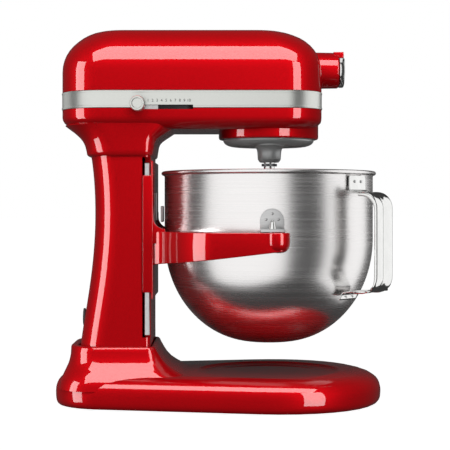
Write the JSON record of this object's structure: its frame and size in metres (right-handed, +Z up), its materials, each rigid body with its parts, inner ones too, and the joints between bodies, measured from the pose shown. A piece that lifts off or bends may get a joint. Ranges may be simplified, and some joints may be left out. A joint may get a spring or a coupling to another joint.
{
  "type": "bowl-lift stand mixer",
  "caption": "Bowl-lift stand mixer with a long base, upright column, motor head, planetary drive, front attachment hub, speed slide and steel bowl on a rising yoke.",
  "frame": {"origin": "middle of the whole object's footprint, on the table under the feet", "axes": "+X towards the attachment hub, +Y towards the side with the bowl-lift lever, +Z up"},
  "size_m": [0.3664, 0.282, 0.416],
  "materials": {
    "red_enamel": "high-gloss clear-coated red enamel with fine metal flake",
    "satin_trim": "satin silver trim",
    "grey_enamel": "semi-gloss silver-grey coating",
    "brushed_bowl_steel": "brushed round the bowl, polished rim",
    "bracket_steel": "satin stainless steel",
    "polished_steel": "polished steel",
    "plain_steel": "machined steel",
    "gear_steel": "cut and hardened gear steel, lightly greased",
    "bronze": "oil-filled bronze",
    "motor_copper": "copper windings and segments",
    "motor_iron": "stacked iron laminations",
    "cast_alloy": "die-cast, unpolished",
    "black_rubber": "matte moulded rubber",
    "dark_plastic": "matte moulded plastic",
    "board_green": "circuit board laminate"
  },
  "bodies": {
    "stand": {"base_casting": "red_enamel", "rubber_foot_1": "black_rubber", "rubber_foot_2": "black_rubber", "rubber_foot_3": "black_rubber", "rubber_foot_4": "black_rubber", "column": "red_enamel", "guide_rail_left": "plain_steel", "guide_rail_right": "plain_steel", "column_screw_1": "plain_steel", "column_screw_2": "plain_steel", "column_screw_3": "plain_steel", "column_screw_4": "plain_steel", "cord_gland": "black_rubber", "head_lower_housing": "red_enamel", "trim_band": "satin_trim", "head_top_cover": "red_enamel", "shaft_bearing": "bronze", "ring_gear": "gear_steel", "hub_bushing": "bronze", "hub_cap_pin": "plain_steel", "gearbox_bracket": "cast_alloy", "motor_stator": "motor_iron", "motor_bearing_front": "bronze", "motor_bearing_rear": "bronze", "motor_rear_bracket": "cast_alloy", "motor_brush_left": "dark_plastic", "motor_brush_right": "dark_plastic", "control_board": "board_green"},
    "carriage": {"bowl_support": "red_enamel", "locating_pin_left": "plain_steel", "locating_pin_right": "plain_steel", "bowl_latch_spring": "bracket_steel"},
    "bowl": {"bowl": "brushed_bowl_steel", "bowl_handle": "brushed_bowl_steel", "bowl_bracket_left": "bracket_steel", "bowl_bracket_right": "bracket_steel", "bowl_rear_bracket": "bracket_steel"},
    "lift_lever": {"lift_shaft": "plain_steel", "lift_lever": "satin_trim", "lever_grip": "dark_plastic"},
    "planetary": {"planetary": "grey_enamel", "vertical_shaft": "plain_steel", "drive_pin": "plain_steel", "planetary_drive_gear": "gear_steel", "centre_bevel_gear": "gear_steel"},
    "beater_drive": {"beater_shaft": "polished_steel", "beater_pin": "polished_steel", "shaft_collar": "dark_plastic", "agitator_pinion": "gear_steel"},
    "layshaft": {"layshaft": "gear_steel", "worm_wheel": "bronze"},
    "motor": {"armature_shaft": "plain_steel", "armature_core": "motor_copper", "commutator": "motor_copper", "motor_fan": "dark_plastic"},
    "hub_drive": {"hub_drive_gear": "gear_steel"},
    "hub_cap": {"hub_cap": "polished_steel"},
    "attachment_knob": {"attachment_knob": "dark_plastic"},
    "speed_control": {"speed_lever": "plain_steel", "speed_knob": "satin_trim"}
  },
  "joints": [
    {"name": "bowl_lift", "type": "slide", "parent": "stand", "child": "carriage", "axis": [0, 0, 1], "range_m": [-0.035, 0]},
    {"name": "bowl_lift_off", "type": "slide", "parent": "carriage", "child": "bowl", "axis": [0, 0, 1], "range_m": [0, 0.015]},
    {"name": "lift_lever_turn", "type": "hinge", "parent": "stand", "child": "lift_lever", "pos_m": [-0.09714, 0, 0.175], "axis": [0, -1, 0], "range_deg": [0, 90]},
    {"name": "planetary_spin", "type": "hinge", "parent": "stand", "child": "planetary", "pos_m": [0.05286, 0, 0.291], "axis": [0, 0, 1], "continuous": true},
    {"name": "beater_spin", "type": "hinge", "parent": "planetary", "child": "beater_drive", "pos_m": [0.05286, -0.028, 0.269], "axis": [0, 0, 1], "continuous": true},
    {"name": "layshaft_spin", "type": "hinge", "parent": "stand", "child": "layshaft", "pos_m": [0.00817, 0.0285, 0.33], "axis": [0, 0, 1], "continuous": true},
    {"name": "motor_spin", "type": "hinge", "parent": "stand", "child": "motor", "pos_m": [-0.04714, 0, 0.362], "axis": [1, 0, 0], "continuous": true},
    {"name": "hub_spin", "type": "hinge", "parent": "stand", "child": "hub_drive", "pos_m": [0.09286, 0, 0.3735], "axis": [1, 0, 0], "continuous": true},
    {"name": "hub_cap_hinge", "type": "hinge", "parent": "stand", "child": "hub_cap", "pos_m": [0.13456, 0, 0.391], "axis": [0, -1, 0], "range_deg": [0, 95]},
    {"name": "attachment_knob_turn", "type": "hinge", "parent": "stand", "child": "attachment_knob", "pos_m": [0.12086, 0.03, 0.3735], "axis": [0, 1, 0], "continuous": true},
    {"name": "speed_slide", "type": "slide", "parent": "stand", "child": "speed_control", "axis": [1, 0, 0], "range_m": [0, 0.056]}
  ],
  "couplings": [
    {"joint": "lift_lever_turn", "follows": "bowl_lift", "rad_per_m": -44.875},
    {"joint": "beater_spin", "follows": "planetary_spin", "ratio": -3},
    {"joint": "layshaft_spin", "follows": "planetary_spin", "ratio": -3.0769},
    {"joint": "motor_spin", "follows": "planetary_spin", "ratio": 64.615},
    {"joint": "hub_spin", "follows": "planetary_spin", "ratio": 1.5714}
  ]
}
